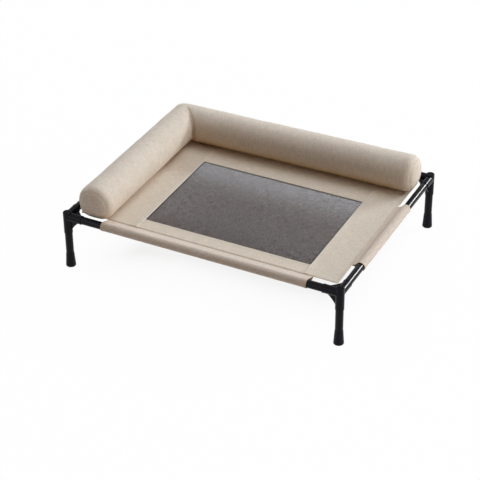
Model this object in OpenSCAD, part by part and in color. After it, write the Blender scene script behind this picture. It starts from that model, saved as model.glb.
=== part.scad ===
// Raised dog cot: a tube frame on four legs, a canvas deck with a mesh window and an L-shaped bolster.
// X runs along the long side, Y towards the back and Z up. The origin is on the floor under the middle.

/* [Frame] */
// Distance between the left and right rail axes
rail_span_x = 823; // [700:1:1100]
// Distance between the front and rear rail axes
rail_span_y = 628; // [540:1:900]
// Height of the rail axes above the floor
rail_h = 162; // [130:1:260]
// Outside diameter of the rails and legs
tube_d = 22; // [18:0.5:26]
// Wall of the rails and legs
tube_wall = 1.2; // [0.8:0.1:2]

/* [Corner connectors] */
// Wall round each level socket
level_wall = 1.1; // [0.8:0.1:3]
// Wall round the upright socket
upright_wall = 1.1; // [0.8:0.1:3.6]
// Reach of the level sockets from the corner axis
level_reach = 48; // [40:1:70]
// Reach of the upright socket below the rail axes
upright_reach = 52; // [46:1:70]
// Solid left between a tube's end and the tube that crosses it
socket_floor = 4; // [2:0.5:8]
// Width of the moulded ring at the mouth of a level socket
ring_w = 3; // [2:0.5:6]
// How far that ring stands proud
ring_rise = 0.4; // [0.3:0.1:1.5]
// Bevel on the edge of every mouth
mouth_bevel = 0.6; // [0.3:0.1:0.9]
// How far the round cap stands above the level sockets
cap_rise = 2.7; // [0.5:0.1:4]
// Rounding of the cap's edge
cap_round = 2.5; // [1:0.1:4]
// Thickness of the webs between the sockets
web_t = 4; // [2.5:0.1:6]
// Reach of the upright webs along a level socket
gusset_out = 36; // [26:1:39]
// Reach of the upright webs down the upright socket
gusset_down = 40; // [28:1:44]
// Reach of the level web along both level sockets
web_out = 42; // [36:1:44]
// How far the free edge of a web is drawn in
web_hollow = 2; // [0.5:0.1:3]
// Diameter of the hole through the level web
web_hole_d = 6; // [3:0.1:7]
// Place of that hole along both level sockets
web_hole_at = 20.5; // [19:0.1:22]

/* [Feet] */
// Height of a foot
foot_h = 42; // [30:1:60]
// Diameter of a foot on the floor
foot_base_d = 28.6; // [27:0.1:40]
// Wall of a foot round its leg
foot_wall = 0.6; // [0.5:0.1:2.5]
// Thickness of a foot under its leg
foot_floor = 5; // [3:0.5:10]
// Rounding of the bottom edge
foot_round = 2.5; // [1:0.1:4]
// Rounding of the edge of the mouth
foot_mouth_round = 0.3; // [0.1:0.1:0.5]
// How sharply the foot flares towards the floor
foot_flare = 1.15; // [1:0.05:3]

/* [Deck] */
// Thickness of the canvas
canvas_t = 1.2; // [0.8:0.1:2.5]
// Thickness of the mesh
mesh_t = 0.9; // [0.6:0.1:2]
// Front or rear rail axis to the edge of the flat deck
long_edge_inset = 36; // [26:1:50]
// Left or right rail axis to the edge of the flat deck
short_edge_inset = 26; // [22:1:50]
// Left rail axis to the mesh window
border_left = 201.5; // [150:0.5:260]
// Right rail axis to the mesh window
border_right = 121.5; // [80:0.5:180]
// Front rail axis to the mesh window
border_front = 81.5; // [70:0.5:140]
// Rear rail axis to the mesh window
border_rear = 202; // [150:0.5:260]
// How far the mesh runs on under the canvas
seam_lap = 12; // [6:1:20]
// Rounding of the four corner flaps
flap_round = 6; // [2:0.5:20]

/* [Sleeves] */
// Length of the front and rear sleeves
long_sleeve_l = 621; // [400:1:640]
// How far they sit to the right of the middle
long_sleeve_shift = 7; // [-10:1:10]
// Length of the left and right sleeves
short_sleeve_l = 318; // [200:1:400]
// How far they sit behind the middle
short_sleeve_shift = -24; // [-40:1:40]
// Gap between a rail and its sleeve
sleeve_gap = 0.3; // [0.2:0.1:1]
// Depth of the hem where the two layers are sewn together
sleeve_hem = 9; // [4:0.5:12]

/* [Bolster] */
// Diameter of both rolls
bolster_d = 104; // [80:1:130]
// Depth by which the underside is pressed flat
bolster_flat = 3; // [2:0.5:8]
// How far the rear roll hangs over the deck's rear edge
bolster_overhang = 6; // [0:1:12]
// Rail axis to the tip of each roll's end
bolster_end_gap = 5; // [0:1:30]
// Rounding between a roll and its end panel
end_round = 18; // [12:1:26]
// Radius of the end panel's crown
end_crown = 95; // [85:1:140]
// Thickness of the cover cloth
cover_t = 1.6; // [1:0.1:3]
// Depth of the sewn groove round an end panel
seam_groove = 1.1; // [0.5:0.1:1.5]
// Gap between the cover and its filling
filling_gap = 0.3; // [0.2:0.1:1]

/* [Hook and loop strips] */
// Width of a strip
strip_w = 25; // [15:1:30]
// Thickness of one strip
strip_t = 1.2; // [0.8:0.1:2]
// Clear length left at both ends of a strip
strip_margin = 60; // [30:1:120]

/* [Fits] */
// Radial clearance between a tube and its socket
socket_fit = 0.15; // [0.1:0.05:0.4]

/* [Hidden] */
$fn = 96;
charcoal = [0.09, 0.09, 0.1];
gloss_black = [0.05, 0.05, 0.055];
canvas_tan = [0.8, 0.75, 0.69];
bolster_tan = [0.83, 0.78, 0.71];
mesh_grey = [0.42, 0.41, 0.43];
strip_tan = [0.7, 0.65, 0.57];
filling_white = [0.93, 0.93, 0.9];

tube_r = tube_d / 2;
bore_r = tube_r + socket_fit;
level_r = bore_r + level_wall;
upright_r = bore_r + upright_wall;
tube_seat = tube_r + socket_floor;
cap_top = level_r + cap_rise;
over = 1; // extra depth of a cut past the face that it leaves
run_in = 0.05; // how far a straight run starts inside the round that it leaves
fold_h = 0.2; // half height of the inside of a sleeve at its hem

half_x = rail_span_x / 2;
half_y = rail_span_y / 2;
foot_top_r = bore_r + foot_wall;
foot_base_r = foot_base_d / 2;
flare_steps = 10;
round_steps = 6;

deck_x0 = -half_x + short_edge_inset;
deck_x1 = half_x - short_edge_inset;
deck_y0 = -half_y + long_edge_inset;
deck_y1 = half_y - long_edge_inset;
mesh_x0 = -half_x + border_left;
mesh_x1 = half_x - border_right;
mesh_y0 = -half_y + border_front;
mesh_y1 = half_y - border_rear;
deck_bottom = rail_h - canvas_t / 2;
deck_top = rail_h + canvas_t / 2;
sleeve_in_r = tube_r + sleeve_gap;
sleeve_out_r = sleeve_in_r + canvas_t;

bolster_r = bolster_d / 2;
bolster_x = deck_x0 + bolster_r;
bolster_y = deck_y1 - bolster_r + bolster_overhang;
bolster_bottom = deck_top + 2 * strip_t;
bolster_z = bolster_bottom + bolster_r - bolster_flat;
rear_roll_l = half_x - bolster_end_gap - bolster_x;
left_roll_l = bolster_y + half_y - bolster_end_gap;
crown_angle = asin((bolster_r - end_round) / (end_crown - end_round));
crown_drop = (end_crown - end_round) * cos(crown_angle);

// Where a line from [d, h] touches a circle of radius r round the origin, on the side of +Y
function tangent_point(r, d, h) =
    let (turn = atan2(h, d) + acos(r / norm([d, h])))
    [r * cos(turn), r * sin(turn)];

// Places its children at a corner, with +X and +Y pointing into the cot
module at_corner(side_x, side_y) {
    translate([side_x * half_x, side_y * half_y, 0])
        mirror([side_x > 0 ? 1 : 0, 0, 0])
        mirror([0, side_y > 0 ? 1 : 0, 0])
        children();
}

// Open steel tube standing on the XY plane
module tube(length) {
    color(gloss_black)
    difference() {
        cylinder(h = length, r = tube_r);
        translate([0, 0, -over]) cylinder(h = length + 2 * over, r = tube_r - tube_wall);
    }
}

module long_rail(side_y) {
    translate([-half_x + tube_seat, side_y * half_y, rail_h])
        rotate([0, 90, 0])
        tube(rail_span_x - 2 * tube_seat);
}

module short_rail(side_x) {
    translate([side_x * half_x, -half_y + tube_seat, rail_h])
        rotate([-90, 0, 0])
        tube(rail_span_y - 2 * tube_seat);
}

module leg(side_x, side_y) {
    at_corner(side_x, side_y)
        translate([0, 0, foot_floor])
        tube(rail_h - tube_seat - foot_floor);
}

// Outside of a level socket along +Z, with its moulded ring
module level_socket() {
    ring_r = level_r + ring_rise;
    rotate_extrude()
        polygon([
            [0, 0],
            [level_r, 0],
            [level_r, level_reach - ring_w - ring_rise],
            [ring_r, level_reach - ring_w],
            [ring_r, level_reach - mouth_bevel],
            [ring_r - mouth_bevel, level_reach],
            [0, level_reach]
        ]);
}

// Outside of the upright socket, from its bevelled mouth to the rounded cap
module upright_socket() {
    cap_edge = [for (i = [0 : round_steps])
        let (turn = 90 * i / round_steps)
        [upright_r - cap_round * (1 - cos(turn)), cap_top - cap_round * (1 - sin(turn))]];
    rotate_extrude()
        polygon(concat(
            [[0, -upright_reach], [upright_r - mouth_bevel, -upright_reach]],
            [[upright_r, -upright_reach + mouth_bevel]],
            cap_edge,
            [[0, cap_top]]
        ));
}

// Web between a socket along +X that it follows to a and one along +Y that it follows to b
module web_outline(a, b, radius_a, radius_b) {
    edge = [radius_b - a, b - radius_a];
    chord = norm(edge);
    hollow_r = (chord * chord / 4 + web_hollow * web_hollow) / (2 * web_hollow);
    middle = [(a + radius_b) / 2, (radius_a + b) / 2];
    outward = [edge[1], -edge[0]] / chord;
    difference() {
        polygon([[0, 0], [a, 0], [a, radius_a], [radius_b, b], [0, b]]);
        translate(middle + outward * (hollow_r - web_hollow)) circle(hollow_r);
    }
}

// Three-way corner with its sockets along +X, +Y and down
module connector(side_x, side_y) {
    color(charcoal)
    at_corner(side_x, side_y)
    translate([0, 0, rail_h])
    difference() {
        union() {
            upright_socket();
            rotate([0, 90, 0]) level_socket();
            rotate([-90, 0, 0]) level_socket();
            linear_extrude(web_t, center = true)
                web_outline(web_out, web_out, level_r, level_r);
            for (turn = [0, 90])
                rotate([-90, 0, turn])
                    linear_extrude(web_t, center = true)
                    web_outline(gusset_out, gusset_down, level_r, upright_r);
        }
        rotate([0, 90, 0]) socket_bore(level_reach);
        rotate([-90, 0, 0]) socket_bore(level_reach);
        rotate([180, 0, 0]) socket_bore(upright_reach);
        translate([web_hole_at, web_hole_at, -web_t])
            cylinder(h = 2 * web_t, d = web_hole_d);
    }
}

module socket_bore(reach) {
    translate([0, 0, tube_seat]) cylinder(h = reach - tube_seat + over, r = bore_r);
}

module foot(side_x, side_y) {
    flare_h = foot_h - foot_mouth_round;
    bottom_edge = [for (i = [0 : round_steps])
        let (turn = 90 * i / round_steps)
        [foot_base_r - foot_round * (1 - sin(turn)), foot_round * (1 - cos(turn))]];
    flare = [for (i = [1 : flare_steps])
        let (rise = i / flare_steps)
        [
            foot_top_r + (foot_base_r - foot_top_r) * pow(1 - rise, foot_flare),
            foot_round + (flare_h - foot_round) * rise
        ]];
    color(charcoal)
    at_corner(side_x, side_y)
    difference() {
        rotate_extrude()
            polygon(concat(
                [[0, 0]],
                bottom_edge,
                flare,
                [[foot_top_r - foot_mouth_round, foot_h], [0, foot_h]]
            ));
        translate([0, 0, foot_floor]) cylinder(h = foot_h, r = bore_r);
    }
}

// Whole flat part of the deck, with its rounded corner flaps
module deck_outline() {
    for (x = [deck_x0 + flap_round, deck_x1 - flap_round])
        for (y = [deck_y0 + flap_round, deck_y1 - flap_round])
            translate([x, y]) circle(flap_round);
    translate([deck_x0, deck_y0 + flap_round])
        square([deck_x1 - deck_x0, deck_y1 - deck_y0 - 2 * flap_round]);
    translate([deck_x0 + flap_round, deck_y0])
        square([deck_x1 - deck_x0 - 2 * flap_round, deck_y1 - deck_y0]);
}

// One canvas panel of the deck
module deck_panel(x0, x1, y0, y1) {
    color(canvas_tan)
    translate([0, 0, deck_bottom])
        linear_extrude(canvas_t)
        intersection() {
            deck_outline();
            translate([x0, y0]) square([x1 - x0, y1 - y0]);
        }
}

module mesh_window() {
    color(mesh_grey)
    translate([mesh_x0 - seam_lap, mesh_y0 - seam_lap, deck_bottom - mesh_t])
        cube([mesh_x1 - mesh_x0 + 2 * seam_lap, mesh_y1 - mesh_y0 + 2 * seam_lap, mesh_t]);
}

// Round at the rail, drawn together to a tip of height 2 * tip_h at distance reach
module teardrop(radius, reach, tip_h) {
    touch = tangent_point(radius - run_in, reach, tip_h);
    circle(radius);
    polygon([[0, 0], [touch[0], -touch[1]], [reach, -tip_h], [reach, tip_h], touch]);
}

// Sewn sleeve round a rail along X whose deck lies towards +Y
module sleeve(length, inset) {
    color(canvas_tan)
    rotate([90, 0, 90])
        linear_extrude(length, center = true)
        difference() {
            teardrop(sleeve_out_r, inset, canvas_t);
            teardrop(sleeve_in_r, inset - sleeve_hem, fold_h);
        }
}

module long_sleeve(side_y) {
    translate([long_sleeve_shift, side_y * half_y, rail_h])
        rotate([0, 0, side_y > 0 ? 180 : 0])
        sleeve(long_sleeve_l, long_edge_inset);
}

module short_sleeve(side_x) {
    translate([side_x * half_x, short_sleeve_shift, rail_h])
        rotate([0, 0, side_x > 0 ? 90 : -90])
        sleeve(short_sleeve_l, short_edge_inset);
}

// Sector of a roll's end that the crowned end panel covers
module crown_sector(length) {
    wide = 2 * end_crown;
    translate([0, length - end_crown])
        polygon([[0, 0], [wide * sin(crown_angle), wide * cos(crown_angle)], [0, wide]]);
}

// Half section of a roll along +Y from behind the mitre to its crowned end, inset from the cloth's outside
module roll_section(length, inset) {
    radius = bolster_r - inset;
    round_at = length - end_crown + crown_drop;
    translate([0, -2 * bolster_r]) square([radius, round_at + 2 * bolster_r]);
    translate([bolster_r - end_round, round_at]) circle(end_round - inset);
    intersection() {
        translate([0, length - end_crown]) circle(end_crown - inset);
        crown_sector(length);
    }
}

module seam_ring(length) {
    translate([end_crown * sin(crown_angle), length - end_crown + end_crown * cos(crown_angle)])
        circle(seam_groove);
}

module cover_section(length) {
    difference() {
        roll_section(length, 0);
        crown_sector(length);
        seam_ring(length);
    }
}

module end_section(length) {
    difference() {
        intersection() {
            roll_section(length, 0);
            crown_sector(length);
        }
        roll_section(length, cover_t);
        seam_ring(length);
    }
}

// Places a section's revolve as the roll along the back
module as_rear_roll() {
    translate([bolster_x, bolster_y, bolster_z])
        rotate([0, 90, 0])
        rotate_extrude()
        children();
}

// Places a section's revolve as the roll along the left side
module as_left_roll() {
    translate([bolster_x, bolster_y, bolster_z])
        rotate([90, 0, 0])
        rotate_extrude()
        children();
}

// Everything above the pressed underside, raised by inset
module above_flat(inset) {
    wide = rail_span_x + rail_span_y;
    translate([-wide / 2, -wide / 2, bolster_bottom + inset]) cube([wide, wide, bolster_d]);
}

// One side of the mitre between the rolls: 1 for the rear roll, -1 for the left roll
module mitre_side(side) {
    wide = rail_span_x + rail_span_y;
    translate([bolster_x, bolster_y, bolster_z])
        rotate([0, 0, side > 0 ? -45 : 135])
        translate([-wide, 0, -bolster_d])
        cube([2 * wide, wide, 2 * bolster_d]);
}

module rear_bolster_cover() {
    color(bolster_tan)
    difference() {
        intersection() {
            as_rear_roll() cover_section(rear_roll_l);
            above_flat(0);
            mitre_side(1);
        }
        intersection() {
            as_rear_roll() roll_section(rear_roll_l, cover_t);
            above_flat(cover_t);
        }
    }
}

module left_bolster_cover() {
    color(bolster_tan)
    difference() {
        intersection() {
            as_left_roll() cover_section(left_roll_l);
            above_flat(0);
            mitre_side(-1);
        }
        intersection() {
            as_left_roll() roll_section(left_roll_l, cover_t);
            above_flat(cover_t);
        }
    }
}

module rear_bolster_end() {
    color(bolster_tan) as_rear_roll() end_section(rear_roll_l);
}

module left_bolster_end() {
    color(bolster_tan) as_left_roll() end_section(left_roll_l);
}

// One L-shaped filling inside both covers
module bolster_filling() {
    inset = cover_t + filling_gap;
    color(filling_white)
    intersection() {
        union() {
            intersection() {
                as_rear_roll() roll_section(rear_roll_l, inset);
                mitre_side(1);
            }
            intersection() {
                as_left_roll() roll_section(left_roll_l, inset);
                mitre_side(-1);
            }
        }
        above_flat(inset);
    }
}

// Strip under the rear roll, with its underside at height z
module rear_strip(z) {
    color(strip_tan)
    translate([bolster_x + strip_margin, bolster_y - strip_w / 2, z])
        cube([rear_roll_l - 2 * strip_margin, strip_w, strip_t]);
}

// Strip under the left roll, with its underside at height z
module left_strip(z) {
    color(strip_tan)
    translate([bolster_x - strip_w / 2, bolster_y - left_roll_l + strip_margin, z])
        cube([strip_w, left_roll_l - 2 * strip_margin, strip_t]);
}

long_rail(-1);  // front_rail
long_rail(1);  // rear_rail
short_rail(-1);  // left_rail
short_rail(1);  // right_rail
connector(-1, -1);  // front_left_connector
connector(1, -1);  // front_right_connector
connector(-1, 1);  // rear_left_connector
connector(1, 1);  // rear_right_connector
leg(-1, -1);  // front_left_leg
leg(1, -1);  // front_right_leg
leg(-1, 1);  // rear_left_leg
leg(1, 1);  // rear_right_leg
foot(-1, -1);  // front_left_foot
foot(1, -1);  // front_right_foot
foot(-1, 1);  // rear_left_foot
foot(1, 1);  // rear_right_foot
deck_panel(deck_x0, mesh_x0, deck_y0, deck_y1);  // left_deck_panel
deck_panel(mesh_x1, deck_x1, deck_y0, deck_y1);  // right_deck_panel
deck_panel(mesh_x0, mesh_x1, deck_y0, mesh_y0);  // front_deck_panel
deck_panel(mesh_x0, mesh_x1, mesh_y1, deck_y1);  // rear_deck_panel
mesh_window();
long_sleeve(-1);  // front_sleeve
long_sleeve(1);  // rear_sleeve
short_sleeve(-1);  // left_sleeve
short_sleeve(1);  // right_sleeve
rear_bolster_cover();
left_bolster_cover();
rear_bolster_end();
left_bolster_end();
bolster_filling();
rear_strip(deck_top + strip_t);  // rear_hook_strip
left_strip(deck_top + strip_t);  // left_hook_strip
rear_strip(deck_top);  // rear_loop_strip
left_strip(deck_top);  // left_loop_strip
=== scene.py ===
import math

import bpy
import numpy as np
from mathutils import Matrix, Vector


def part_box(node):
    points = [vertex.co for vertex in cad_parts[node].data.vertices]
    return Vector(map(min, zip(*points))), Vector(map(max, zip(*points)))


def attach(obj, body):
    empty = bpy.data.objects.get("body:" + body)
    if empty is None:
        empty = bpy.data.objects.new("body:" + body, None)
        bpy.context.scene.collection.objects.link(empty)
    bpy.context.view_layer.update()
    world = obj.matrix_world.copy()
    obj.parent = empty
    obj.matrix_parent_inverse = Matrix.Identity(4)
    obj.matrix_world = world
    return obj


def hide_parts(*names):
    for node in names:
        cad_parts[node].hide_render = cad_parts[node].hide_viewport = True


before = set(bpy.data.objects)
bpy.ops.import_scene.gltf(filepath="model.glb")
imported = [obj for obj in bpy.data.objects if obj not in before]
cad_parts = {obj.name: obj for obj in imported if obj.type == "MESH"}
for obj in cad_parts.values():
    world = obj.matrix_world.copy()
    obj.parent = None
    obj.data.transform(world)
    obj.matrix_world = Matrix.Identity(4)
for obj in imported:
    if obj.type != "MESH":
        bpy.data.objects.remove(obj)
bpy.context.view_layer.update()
scene = bpy.context.scene
scene.view_settings.view_transform = "Standard"

mm = 0.001


# a swatch colour, 0 to 255 as the eye reads it, in the linear values that a shader takes
def tone(r, g, b):
    c = np.array([r, g, b]) / 255
    linear = np.where(c <= 0.04045, c / 12.92, ((c + 0.055) / 1.055) ** 2.4)
    return (*linear.tolist(), 1.0)


# rises from 0 at t = 0 to 1 at t = 1 along 3t^2 - 2t^3
def ease(t):
    t = np.clip(t, 0, 1)
    return t * t * (3 - 2 * t)


# bell curve: e^(-(d / width)^2)
def bell(d, width):
    return np.exp(-(d / width) ** 2)


# mean of sines of x and y: each row of waves holds a length along x, one along y and a phase
def ripple(x, y, waves):
    parts = [np.sin(2 * math.pi * (x / wx + y / wy) + phase) for wx, wy, phase in waves]
    return sum(parts) / len(parts)


# the low and the high corner of a node's CAD box
def nodeBox(node):
    low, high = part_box(node)
    return np.array(low), np.array(high)


# Camera

# the photograph's viewpoint, solved from the feet, the rails and the mesh corners
cameraSet = {
    "turn": 27.267,  # degrees round from the front towards the right side
    "rise": 33.543,
    "roll": -0.582,
    "target": (0.02658, -0.12591, 0.1),
    "distance": 4.60227,
    "focalLength": 124.896,  # mm, on a sensor this wide
    "sensor": 36,
}


# back points from the target to the eye, right is level, up completes them; the roll turns right and up
def placeCamera(opts):
    turn, rise, roll = (math.radians(opts[k]) for k in ("turn", "rise", "roll"))
    back = np.array([math.sin(turn) * math.cos(rise), -math.cos(turn) * math.cos(rise), math.sin(rise)])
    right = np.array([math.cos(turn), math.sin(turn), 0])
    up = np.cross(back, right)
    turned = math.cos(roll) * right + math.sin(roll) * up
    raised = math.cos(roll) * up - math.sin(roll) * right
    eye = np.array(opts["target"]) + back * opts["distance"]
    data = bpy.data.cameras.new("photoCamera")
    data.lens = opts["focalLength"]
    data.sensor_width = opts["sensor"]
    camera = bpy.data.objects.new("photoCamera", data)
    axes = np.eye(4)
    axes[:3, :4] = np.stack([turned, raised, back, eye], 1)
    camera.matrix_world = Matrix(axes.tolist())
    scene.collection.objects.link(camera)
    scene.camera = camera


placeCamera(cameraSet)


# Light and floor

lightSet = {
    "softboxes": {  # degrees round from the right side towards the back, degrees up, metres, watts
        "keyBox": {"turn": 55.5, "rise": 22.5, "size": (3.0, 1.4), "watts": 1000, "tint": (0.80, 1.0, 1.16)},
        "glintBox": {"turn": 56, "rise": 25, "size": (3.8, 2.6), "watts": 2000, "tint": (1.0, 1.0, 1.0)},
        "rightBox": {"turn": 5, "rise": 11, "size": (7.0, 4.4), "watts": 800, "tint": (0.97, 1.0, 1.05)},
        "overBox": {"turn": 35, "rise": 62, "size": (7.0, 5.2), "watts": 455, "tint": (0.85, 1.0, 1.20)},
        "highBox": {"turn": 95, "rise": 62, "size": (7.0, 5.2), "watts": 400, "tint": (0.85, 1.0, 1.20)},
        "backBox": {"turn": 145, "rise": 38, "size": (8.8, 5.2), "watts": 395, "tint": (0.89, 1.0, 1.20)},
        "topBox": {"turn": 0, "rise": 88, "size": (7.0, 7.0), "watts": 250, "tint": (0.97, 1.0, 0.98)},
        "leftBox": {"turn": 188, "rise": 16, "size": (7.0, 4.4), "watts": 250, "tint": (0.83, 1.0, 1.09)},
        "frontBox": {"turn": 238, "rise": 26, "size": (7.0, 4.4), "watts": 140, "tint": (1.10, 1.0, 0.88)},
    },
    "mirrored": ("glintBox", "rightBox", "leftBox", "frontBox"),  # the boxes that black paint shows
    "mirrorOnly": ("glintBox",),  # a card that lights nothing itself
    "aim": (0, 0, 0.15),
    "distance": 14.0,
    "ambient": 0.01,
    "ambientTone": (255, 226, 196),
    "floorHalf": 6.0,
    "floorTone": (236, 229, 223),
    "floorWhite": 0.985,  # share of the floor that the camera sees as plain white
    "shadeDepth": 0.15,  # painted shadow: how much less of it under the cot
    "shadeLow": (-0.28, -0.14),  # the patch where it is least, metres
    "shadeHigh": (0.285, 0.30),
    "shadeLean": (-0.15, 0.3),  # left of here the patch comes forward by this slope
    "shadeFade": 0.05,
    "throughPaintedWhite": 0.4,  # painted light: share of white that shows through the mesh, past the cot's shadow
    "throughRun": (0.22, 0.36),  # it rises along this run of y
}


# a lamp on the line from the cot's middle, facing it, with its wide side level
def softbox(name, opts, studio):
    turn, rise = math.radians(opts["turn"]), math.radians(opts["rise"])
    away = Vector((math.cos(turn) * math.cos(rise), math.sin(turn) * math.cos(rise), math.sin(rise)))
    data = bpy.data.lights.new(name, "AREA")
    data.shape = "RECTANGLE"
    data.size, data.size_y = opts["size"]
    data.energy = opts["watts"]
    data.color = opts["tint"]
    lamp = bpy.data.objects.new(name, data)
    lamp.location = Vector(studio["aim"]) + away * studio["distance"]
    lamp.rotation_euler = away.to_track_quat("Z", "Y").to_euler()
    lamp.visible_glossy = name in studio["mirrored"]
    lamp.visible_diffuse = name not in studio["mirrorOnly"]
    scene.collection.objects.link(lamp)


# sets a node's sockets, or links them where the value is another node's socket
def plug(tree, made, ins):
    for socket, value in ins.items():
        if isinstance(value, bpy.types.NodeSocket):
            tree.links.new(value, made.inputs[socket])
        else:
            made.inputs[socket].default_value = value


# adds a node with its sockets and fields
def put(tree, kind, ins=None, **fields):
    made = tree.nodes.new("ShaderNode" + kind)
    for field, value in fields.items():
        setattr(made, field, value)
    plug(tree, made, ins or {})
    return made


# one Math node; a and b are numbers or sockets
def calc(tree, operation, a, b=0.0):
    return put(tree, "Math", {0: a, 1: b}, operation=operation).outputs[0]


# a times b
def times(tree, a, b):
    return calc(tree, "MULTIPLY", a, b)


# a less b
def minus(tree, a, b):
    return calc(tree, "SUBTRACT", a, b)


# the sum of all terms
def plus(tree, *terms):
    total = terms[0]
    for term in terms[1:]:
        total = calc(tree, "ADD", total, term)
    return total


# a value's run from start to end, carried onto low to high
def mapRange(tree, value, start, end, low=0.0, high=1.0):
    return put(tree, "MapRange", {"Value": value, "From Min": start, "From Max": end,
                                  "To Min": low, "To Max": high}).outputs[0]


# x, y and z of a vector
def axesOf(tree, vector):
    return put(tree, "SeparateXYZ", {"Vector": vector}).outputs


# an empty node tree for a material or the world
def emptyTree(holder):
    holder.use_nodes = True
    holder.node_tree.nodes.clear()
    return holder.node_tree


# 1 for what the camera sees straight or mirrored, 0 for light that only bounces; and the light path itself
def seenDirectly(tree):
    path = put(tree, "LightPath").outputs
    mirrored = calc(tree, "MAXIMUM", path["Is Glossy Ray"], path["Is Transmission Ray"])
    return calc(tree, "MAXIMUM", path["Is Camera Ray"], mirrored), path


# white where it is seen, a dim warm light otherwise
def makeWorld(opts):
    world = bpy.data.worlds.new("studio")
    scene.world = world
    tree = emptyTree(world)
    seen, _ = seenDirectly(tree)
    dim = put(tree, "Background", {"Color": tone(*opts["ambientTone"]), "Strength": opts["ambient"]})
    white = put(tree, "Background", {"Color": (1, 1, 1, 1), "Strength": 1.0})
    both = put(tree, "MixShader", {0: seen, 1: dim.outputs[0], 2: white.outputs[0]})
    put(tree, "OutputWorld", {"Surface": both.outputs[0]})


# painted shadow mask: 1 in the patch below the deck, falling off as e^(-d / fade) with the distance d outside it
def paintedShadowUnderCot(tree, place, opts):
    start, slope = opts["shadeLean"]
    lean = times(tree, calc(tree, "MAXIMUM", minus(tree, start, place["X"]), 0.0), slope)
    squares = []
    for k, along in enumerate((place["X"], plus(tree, place["Y"], lean))):
        short = minus(tree, opts["shadeLow"][k], along)
        past = minus(tree, along, opts["shadeHigh"][k])
        out = calc(tree, "MAXIMUM", calc(tree, "MAXIMUM", short, past), 0.0)
        squares.append(times(tree, out, out))
    away = calc(tree, "SQRT", plus(tree, *squares))
    return calc(tree, "EXPONENT", times(tree, away, -1 / opts["shadeFade"]))


# white to the camera with a share of plain paper left in it, so the shadow stays, and more paper under the cot as a
# painted shadow; through the mesh it is paper, but for a share of white that rises behind the cot as painted light
def floorFinish(opts):
    finish = bpy.data.materials.new("paperFloor")
    tree = emptyTree(finish)
    seen, path = seenDirectly(tree)
    behind = calc(tree, "MINIMUM", path["Transparent Depth"], 1.0)
    place = axesOf(tree, put(tree, "TexCoord").outputs["Object"])
    # painted light: the floor seen through the mesh turns white towards the back
    past = mapRange(tree, place["Y"], *opts["throughRun"], high=opts["throughPaintedWhite"])
    hidden = times(tree, behind, minus(tree, 1.0, past))
    white = times(tree, seen, minus(tree, 1.0, hidden))
    # painted shadow: less white and more paper under the cot
    shade = times(tree, paintedShadowUnderCot(tree, place, opts), opts["shadeDepth"])
    share = times(tree, white, minus(tree, opts["floorWhite"], shade))
    paper = put(tree, "BsdfDiffuse", {"Color": tone(*opts["floorTone"])})
    glow = put(tree, "Emission", {"Color": (1, 1, 1, 1), "Strength": 1.0})
    both = put(tree, "MixShader", {0: share, 1: paper.outputs[0], 2: glow.outputs[0]})
    put(tree, "OutputMaterial", {"Surface": both.outputs[0]})
    return finish


# one square at height 0
def makeFloor(opts):
    half = opts["floorHalf"]
    mesh = bpy.data.meshes.new("floor")
    mesh.from_pydata([(-half, -half, 0), (half, -half, 0), (half, half, 0), (-half, half, 0)], [], [(0, 1, 2, 3)])
    mesh.materials.append(floorFinish(opts))
    floor = bpy.data.objects.new("floor", mesh)
    scene.collection.objects.link(floor)


for boxName, boxOpts in lightSet["softboxes"].items():
    softbox(boxName, boxOpts, lightSet)
makeWorld(lightSet)
makeFloor(lightSet)
print("stage: camera,", len(lightSet["softboxes"]), "softboxes and the floor")


# Finishes

# a new material, its tree and its shader
def startFinish(name):
    finish = bpy.data.materials.new(name)
    finish.use_nodes = True
    return finish, finish.node_tree, finish.node_tree.nodes["Principled BSDF"]


# the piece's own map of its cloth, in metres
def weaveMap(tree):
    return put(tree, "UVMap", uv_map="weave").outputs["UV"]


# the wear value of each point, which on the canvas also holds painted shade and highlight
def wearAndShadeOf(tree):
    return put(tree, "Attribute", attribute_name="wear").outputs["Fac"]


# waves along the weave's two directions, half a wave to each pitch in mm
def threadWaves(tree, uv, wave, pitch):
    axes = axesOf(tree, uv)
    return [calc(tree, wave, times(tree, axes[k], math.pi / (pitch * mm))) for k in ("X", "Y")]


# noise about one half: waves of a scale, with finer ones by detail and roughness
def noise(tree, vector, scale, detail, roughness=0.5):
    return put(tree, "TexNoise", {"Vector": vector, "Scale": scale, "Detail": detail,
                                  "Roughness": roughness}).outputs["Fac"]


# a value about one half, moved to about zero and weighted
def centred(tree, value, weight):
    return times(tree, minus(tree, value, 0.5), weight)


# the sum of weighted noises about zero, each drawn out by its own scales along the weave
def streaks(tree, uv, rows, detail):
    parts = []
    for scale, weight in rows:
        drawn = put(tree, "Mapping", {"Vector": uv, "Scale": scale}).outputs[0]
        parts.append(centred(tree, noise(tree, drawn, 1.0, detail), weight))
    return plus(tree, *parts)


# a height as relief, depth in mm
def bump(tree, height, strength, depth):
    return put(tree, "Bump", {"Height": height, "Strength": strength, "Distance": depth * mm}).outputs[0]


# from a dark to a light swatch between two values
def ramp(tree, value, dark, light, darkAt=0.0, lightAt=1.0):
    made = put(tree, "ValToRGB", {"Fac": value})
    for stop, at, colour in zip(made.color_ramp.elements, (darkAt, lightAt), (dark, light)):
        stop.position, stop.color = at, tone(*colour)
    return made.outputs["Color"]


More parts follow.
